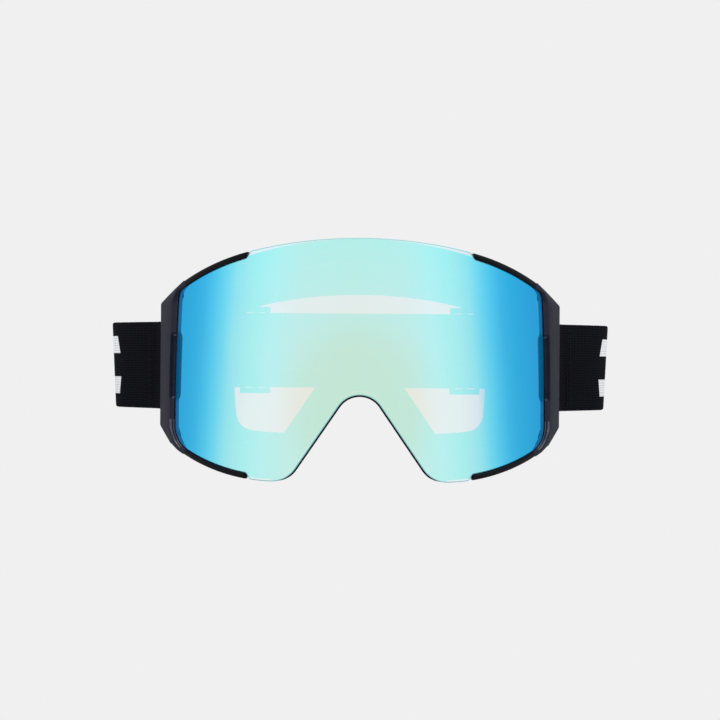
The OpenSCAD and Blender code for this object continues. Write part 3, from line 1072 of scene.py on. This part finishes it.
def face_frame_loops():
    """The section's loops: up the outer wall, round the flange and down the inner wall."""
    wall_out = outline(FACE, 1.2)
    wall_in = outline(FACE, 3.4)
    rim = outline(FACE, 0)
    near_rim = outline(FACE, 0.3)
    bead = outline(FACE, 0.6)
    eye = outline(EYES, -0.6)
    near_eye = outline(EYES, -0.9)
    edge = outline(FACE, 2)
    lip = outline(EYES, -2)
    inner_edge = outline(FACE, 4)

    def lay(loop, cy):
        return placed(loop, FACE_R, cy)

    def wall(loop, *ws):
        return [between_surfaces(loop, w) for w in ws]

    return [
        *wall(outline(FACE, 1.5), 0.0),
        *wall(wall_out, 0.02, 0.3, 0.44),
        *wall(bead, 0.48, 0.56),
        *wall(wall_out, 0.6, 0.8, 0.94),
        lay(outline(FACE, 0.9), FLANGE_FRONT),
        lay(near_rim, FLANGE_FRONT),
        lay(rim, FLANGE_FRONT + 0.4),
        lay(rim, FLANGE_CY - 0.4),
        lay(near_rim, FLANGE_CY),
        *(lay(mix(edge, lip, w), FLANGE_CY) for w in (0, 0.3, 0.6, 1)),
        lay(near_eye, FLANGE_CY),
        lay(eye, FLANGE_CY - 0.4),
        lay(eye, FLANGE_FRONT + 0.4),
        lay(near_eye, FLANGE_FRONT),
        *(lay(mix(lip, inner_edge, w), FLANGE_FRONT) for w in (0, 0.4, 0.8, 1)),
        *wall(wall_in, 0.94, 0.6, 0.3, 0.02),
        *wall(outline(FACE, 3.1), 0.0),
    ]


def vent_cutter():
    """Boxes for the five vents above and the four below."""
    cutter = bmesh.new()
    for x in (-38, -19, 0, 19, 38):
        rounded_box(cutter, (x, y_on(x, 84, LENS_CY) + 4, 50), (15, 8, 60), 1.6)
    for x in (31, 48):
        for s in (-1, 1):
            rounded_box(cutter, (s * x, y_on(x, 83, LENS_CY) + 3.5, -50), (12, 7, 60), 1.5)
    return cutter


def make_face_frame():
    obj = ring_piece("face_frame_shell", face_frame_loops(), soft_tpu)
    subtract(obj, vent_cutter())
    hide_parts("face_frame")
    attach(obj, "frame")


ACROSS = (0.12, 0.3, 0.5, 0.7, 0.88)
WALL = (0.2, 0.5, 0.8)
PAD_LOOPS = 28
WALL_LOOPS = {1, 2, 3, 15, 16, 17}
BACK_LOOPS = set(range(6, 13))
SWELL_FRAMES = 20
SWELL_PRESSURE = 4.0
SWELL_CAP = 0.5


def pad_loops(out_d, in_d, front_cy, back_cy, edge, crown, bulge):
    """The PAD_LOOPS section loops of a foam layer, from the front of its outer wall round."""
    third = edge * 0.3
    outer = [outline(FACE, out_d + e) for e in (0, third, edge)]
    inner = [outline(EYES, in_d - e) for e in (0, third, edge)]
    middle = [mix(outer[2], inner[2], w) for w in ACROSS]
    low, high = front_cy + edge, back_cy - edge

    def lay(loop, cy):
        return placed(loop, FACE_R, cy)

    def wall(shape, offset, sign, ws):
        """The side wall's loops, swelling by up to bulge between its two edges."""
        out = []
        for w in ws:
            swell = bulge * (1 - (2 * w - 1) ** 2)
            out.append(lay(outline(shape, offset - sign * swell), low + (high - low) * w))
        return out

    loops = [lay(outer[0], low), *wall(FACE, out_d, 1, WALL), lay(outer[0], high)]
    loops += [lay(outer[1], back_cy - third), lay(outer[2], back_cy)]
    loops += [lay(m, back_cy + crown * (1 - (2 * w - 1) ** 4)) for m, w in zip(middle, ACROSS)]
    loops += [lay(inner[2], back_cy), lay(inner[1], back_cy - third), lay(inner[0], high)]
    loops += [*wall(EYES, in_d, -1, WALL[::-1]), lay(inner[0], low)]
    loops += [lay(inner[1], front_cy + third), lay(inner[2], front_cy)]
    loops += [lay(m, front_cy) for m in reversed(middle)]
    loops += [lay(outer[2], front_cy), lay(outer[1], front_cy + third)]
    return loops


def swell_as_cloth(obj, free):
    """Lets a pad's free loops swell under pressure as cloth; the bonded ones are pinned."""
    start = [v.co.copy() for v in obj.data.vertices]
    ring = len(start) // PAD_LOOPS
    bonded = [i for i in range(len(start)) if i // ring not in free]
    obj.vertex_groups.new(name="bonded").add(bonded, 1.0, "REPLACE")
    mod = obj.modifiers.new("swell", "CLOTH")
    cloth = mod.settings
    cloth.quality = 6
    cloth.mass = 0.15
    cloth.use_pressure = True
    cloth.uniform_pressure_force = SWELL_PRESSURE
    cloth.effector_weights.gravity = 0
    cloth.vertex_group_mass = "bonded"
    mod.collision_settings.use_collision = False
    mod.point_cache.frame_start = 1
    mod.point_cache.frame_end = SWELL_FRAMES
    scene = bpy.context.scene
    for f in range(1, SWELL_FRAMES + 1):
        scene.frame_set(f)
    graph = bpy.context.evaluated_depsgraph_get()
    swollen = [v.co.copy() for v in obj.evaluated_get(graph).data.vertices]
    obj.modifiers.remove(mod)
    obj.vertex_groups.clear()
    scene.frame_set(1)
    for v, a, b in zip(obj.data.vertices, start, swollen):
        move = b - a
        if move.length > SWELL_CAP * MM:
            move *= SWELL_CAP * MM / move.length
        v.co = a + move


def make_foam():
    # Name, slot, offsets from the outer and inner outline, front and back, edge rounding,
    # crown, bulge, material and fill
    layers = (
        ("foam_dense", "dense_foam", 1.0, 0.2, 82.05, 90.0, 0.5, 0.0, -0.15, dense_foam, 0.9),
        ("foam_soft", "soft_foam", 1.8, 0.6, 90.05, 96.0, 1.1, 0.0, 0.2, soft_foam, 0.7),
        ("face_fleece", "fleece", 2.5, 1.0, 96.05, 97.55, 0.7, 0.3, 0.0, fleece, 0.6),
    )
    for name, slot, out_d, in_d, cy0, cy1, edge, crown, bulge, material, fill in layers:
        loops = pad_loops(out_d, in_d, cy0, cy1, edge, crown, bulge)
        obj = ring_piece(name + "_pad", loops, material, 60)
        if name == "foam_soft":
            swell_as_cloth(obj, WALL_LOOPS)
        if name == "face_fleece":
            swell_as_cloth(obj, BACK_LOOPS)
        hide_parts(name)
        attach(obj, "frame")


# ---- strap

STATION = 0.26
BACK_STEP = 0.5
CURVE_STEPS = 800
SCALLOP = 1.05
LEAN = 1.9
LAYER = 0.8
LOOP_R = BAR_R + 0.05 + STRAP_T / 2
TURN_S = 0.4
TURN_STEPS = 22
TACK_S = (8.6, 10.2)
STITCHES = 15
STITCH_PITCH = 2.4
# Points of the webbing's section: parts of its half thickness and half width, and how far
# each stays back from the edge
RIBBON_HALF = ((1, -1, 0.9), (1, 0, 0.0), (1, 1, 0.9), (0.7, 1, 0.3), (0, 1, 0.0), (-0.7, 1, 0.3))
RIBBON_SECTION = RIBBON_HALF + tuple((-t, -w, back) for t, w, back in RIBBON_HALF)


def bezier(p, t):
    s = 1 - t
    return s**3 * p[0] + 3 * s * s * t * p[1] + 3 * s * t * t * p[2] + t**3 * p[3]


NEAR_CURVE = (BAR, BAR + 9.4 + 10.4j, WIDEST - 18j, WIDEST)
FAR_CURVE = (
    WIDEST,
    WIDEST + 54j,
    complex(BACK_HALF + 34, STRAP_Y),
    complex(BACK_HALF, STRAP_Y),
)


def strap_at(u):
    return bezier(NEAR_CURVE, u) if u < 1 else bezier(FAR_CURVE, u - 1)


def strap_z(u):
    return STRAP_FRONT_Z + (STRAP_BACK_Z - STRAP_FRONT_Z) * smooth((u - 1.4) / 0.6)


def strap_line():
    """Evenly spaced stations (s, point, z) from the outrigger's bar to the middle of the back."""
    fine = [i / CURVE_STEPS for i in range(2 * CURVE_STEPS + 1)]
    track = [(strap_at(u), strap_z(u)) for u in fine]
    for i in range(int(BACK_HALF / BACK_STEP)):
        track.append((complex(BACK_HALF - BACK_STEP * (i + 1), STRAP_Y), STRAP_BACK_Z))
    lengths = lengths_along([p for p, _ in track])
    count = round(lengths[-1] / STATION)
    wanted = [lengths[-1] * i / count for i in range(count + 1)]
    stations = []
    for s, (k, w) in zip(wanted, places(lengths, wanted)):
        (a, za), (b, zb) = track[k], track[k + 1]
        stations.append((s, a + (b - a) * w, za + (zb - za) * w))
    return stations


LINE = strap_line()
SEAM_S = next(s for s, p, _ in LINE if p.imag >= strap_at(SEAM_U).imag)
BACK_S = next(s for s, p, _ in LINE if p.imag >= STRAP_Y - 0.001)


def way_at(track, i):
    """The track's direction at station i."""
    return direction(track[max(i - 1, 0)][1], track[min(i + 1, len(track) - 1)][1])


def add_ribbon(bm, layer, track, outward=0.0, side=1):
    """Webbing along track, a list of (s, point, z), moved sideways by outward.

    layer is the thread attribute; side is -1 for webbing whose marked face is on its inside.
    """
    rings = []
    for i, (s, p, z) in enumerate(track):
        out = way_at(track, i) * -1j
        c = p + out * outward
        lean = LEAN * smooth(abs(s) / 26) * smooth((BACK_S - abs(s)) / 50)
        lean = copysign(lean, s)
        half_w = STRAP_W / 2 - 0.2 + 0.3 * abs(sin(pi * s / SCALLOP))
        ring = []
        for t, w, back in RIBBON_SECTION:
            v = w * (half_w - back)
            q = c + out * (STRAP_T / 2 * t - lean * (0.5 - v / STRAP_W))
            vert = bm.verts.new(at_height(q, z + v))
            vert[layer] = Vector((s, v, 1.0 if t * side > 0.5 else 0.0))
            ring.append(vert)
        rings.append(ring)
    skin(bm, rings, caps=True)


def mirrored(track):
    return [(s, complex(-p.real, p.imag), z) for s, p, z in track]


def thread_layer(bm):
    return bm.verts.layers.float_vector.new("thread")


def make_strap_loop():
    """The outer webbing from seam to seam, and the inner layer of each doubled side."""
    bm = bmesh.new()
    layer = thread_layer(bm)
    outer = [q for q in LINE if q[0] >= SEAM_S]
    whole = outer + list(reversed(mirrored(outer)))[1:]
    add_ribbon(bm, layer, whole, LAYER + 0.05)
    inner = [q for q in LINE if SEAM_S <= q[0] <= BACK_S]
    add_ribbon(bm, layer, inner, -LAYER, -1)
    add_ribbon(bm, layer, list(reversed(mirrored(inner))), -LAYER, -1)
    obj = finish_mesh("strap_loop_webbing", bm, webbing, 60)
    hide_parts("strap_side_left", "strap_side_right", "strap_back")
    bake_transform(obj)


def near_track(near):
    """Back along the inner run to the bar, half a turn round it, and out again."""
    way = way_at(near, 0)
    out = way * -1j

    def run(sign):
        stations = []
        for k, (s, p, z) in enumerate(near):
            if s > TURN_S:
                spread_out = LAYER + 0.02 + (LOOP_R - LAYER) * smooth(1 - s / 7.5)
                stations.append((sign * s, p + sign * way_at(near, k) * -1j * spread_out, z))
        return stations

    turn = []
    for i in range(TURN_STEPS + 1):
        a = pi * i / TURN_STEPS
        p = BAR + LOOP_R * (-out * cos(a) - way * sin(a))
        turn.append((TURN_S * (2 * i / TURN_STEPS - 1), p, STRAP_FRONT_Z))
    return run(-1)[::-1] + turn + run(1)


def make_strap_near(side):
    """The webbing's turn round the outrigger's bar, with its bar tacks."""
    bm = bmesh.new()
    layer = thread_layer(bm)
    near = [q for q in LINE if q[0] <= SEAM_S]
    add_ribbon(bm, layer, near_track(near))
    tack_rows(bm, near)
    if side == "left":
        mirror_mesh(bm)
    obj = finish_mesh("strap_near_webbing_" + side, bm, [webbing, thread], 60)
    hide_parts("strap_near_" + side)
    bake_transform(obj)


def tack_rows(bm, near):
    """Two rows of stitches across the webbing that close its loop round the bar."""
    before = len(bm.faces)
    for s_row in TACK_S:
        k = next(i for i, q in enumerate(near) if q[0] >= s_row)
        _, p, z = near[k]
        way = way_at(near, k)
        for sign in (-1, 1):
            face = p + sign * way * -1j * (2 * LAYER + 0.02)
            for i in range(STITCHES):
                add_stitch(bm, face, way, z + (i - (STITCHES - 1) / 2) * STITCH_PITCH)
    bm.faces.ensure_lookup_table()
    for f in bm.faces[before:]:
        f.material_index = 1


def add_stitch(bm, p, way, z):
    made = bmesh.ops.create_uvsphere(bm, u_segments=8, v_segments=6, radius=0.5)
    turn = Matrix.Rotation(cmath.phase(way), 4, "Z")
    size = Matrix.Diagonal((0.5 * MM, 0.3 * MM, 1.9 * MM, 1))
    shift = Matrix.Translation(at_height(p, z))
    bmesh.ops.transform(bm, matrix=shift @ turn @ size, verts=made["verts"])


def make_strap_tail(side):
    """The inner layer's end, folded round the adjuster's inner bar."""
    bm = bmesh.new()
    layer = thread_layer(bm)
    y = STRAP_Y - LAYER
    bar_x = SLIDER_HIGH.x - 1.3
    bar_y = SLIDER_LOW.y + 0.85
    r = 0.85 + 0.12 + STRAP_T / 2
    points = [complex(BACK_HALF - STATION * i, y) for i in range(12)]
    ease = 24
    x0 = points[-1].real
    for w in (i / ease for i in range(1, ease + 1)):
        points.append(complex(x0 + (bar_x + 1.0 - x0) * w, y + (bar_y - r - y) * smooth(w)))
    centre = complex(bar_x, bar_y)
    points += [complex(bar_x + 0.5, bar_y - r), complex(bar_x, bar_y - r)]
    points += [centre + r * unit(-pi / 2 - a * pi / 2 / 8) for a in range(1, 9)]
    track = [(BACK_S + STATION * i, p, STRAP_BACK_Z) for i, p in enumerate(points)]
    add_ribbon(bm, layer, track, side=-1)
    if side == "left":
        mirror_mesh(bm)
    obj = finish_mesh("strap_tail_webbing_" + side, bm, webbing, 60)
    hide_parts("strap_tail_" + side)
    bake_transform(obj)


# ---- CAD nodes that stay


def dress_cad_nodes():
    use_cad("lens_spacer", spacer_foam)
    use_cad("inner_lens", inner_clear)
    use_cad("lens_magnets", nickel, 0.15)
    use_cad("seat_magnets", nickel, 0.15)
    use_cad("seat_frame", nylon)
    use_cad("arm_screws", steel, 0.1)
    use_cad("vent_foam_top", vent_foam)
    use_cad("vent_foam_bottom", vent_foam)
    use_cad("strap_grip", silicone, 0.12)
    for side in ("left", "right"):
        use_cad("lens_tab_" + side, tab_plastic, 0.3)
        use_cad("hinge_pin_" + side, steel, 0.2)
        use_cad("outrigger_" + side, clip_plastic, 0.3)
        use_cad("strap_slider_" + side, clip_plastic, 0.45)


# ---- stage

MIDDLE = (0, 0.05, 0)
FLOOR_Z = -0.5
WORLD_TONE = 0.871
CAMERA_Y = -0.7154
CAMERA_LENS = 81.25
CAMERA_ROLL = -0.4


def area_light(name, place, size, power):
    data = bpy.data.lights.new(name, "AREA")
    data.shape = "RECTANGLE"
    data.size, data.size_y = size
    data.energy = power
    obj = add_object(name, data)
    obj.location = place
    aim = Vector(MIDDLE) - Vector(place)
    obj.rotation_euler = aim.to_track_quat("-Z", "Y").to_euler()


def make_stage():
    scene = bpy.context.scene
    scene.view_settings.view_transform = "Standard"
    world = bpy.data.worlds.new("studio")
    world.use_nodes = True
    set_input(world.node_tree.nodes["Background"], Color=(*grey(WORLD_TONE), 1))
    scene.world = world
    area_light("key", (-0.45, -0.55, 0.95), (0.7, 0.5), 5)
    area_light("fill", (0.8, -0.35, 0.55), (0.6, 0.6), 2.5)
    area_light("back", (0.1, 0.95, 0.7), (0.9, 0.4), 4)
    bm = bmesh.new()
    bmesh.ops.create_circle(bm, cap_ends=True, segments=96, radius=1.25)
    mat, tree, shader = new_material("studio_floor")
    tone = noise(object_point(tree), 6, 2)
    stops = [(0.3, grey(0.66)), (0.7, grey(0.68))]
    link(ramp(tone, stops), shader, "Base Color")
    set_input(shader, Roughness=0.9)
    floor = finish_mesh("floor", bm, mat)
    floor.location = (MIDDLE[0], MIDDLE[1], FLOOR_Z)


def make_camera():
    """The photograph's view: level with the middle of the lens, straight on."""
    data = bpy.data.cameras.new("camera")
    data.lens = CAMERA_LENS
    data.sensor_width = 36
    data.clip_start = 0.01
    camera = add_object("camera", data)
    camera.location = (0, CAMERA_Y, 0)
    camera.rotation_euler = (pi / 2, radians(CAMERA_ROLL), 0)
    bpy.context.scene.camera = camera


make_camera()
make_stage()
dress_cad_nodes()
make_outer_lens()
make_nose_gasket()
make_face_frame()
make_foam()
make_strap_loop()
for side_name in ("left", "right"):
    make_side_arm(side_name)
    make_strap_near(side_name)
    make_strap_tail(side_name)

bpy.context.view_layer.update()
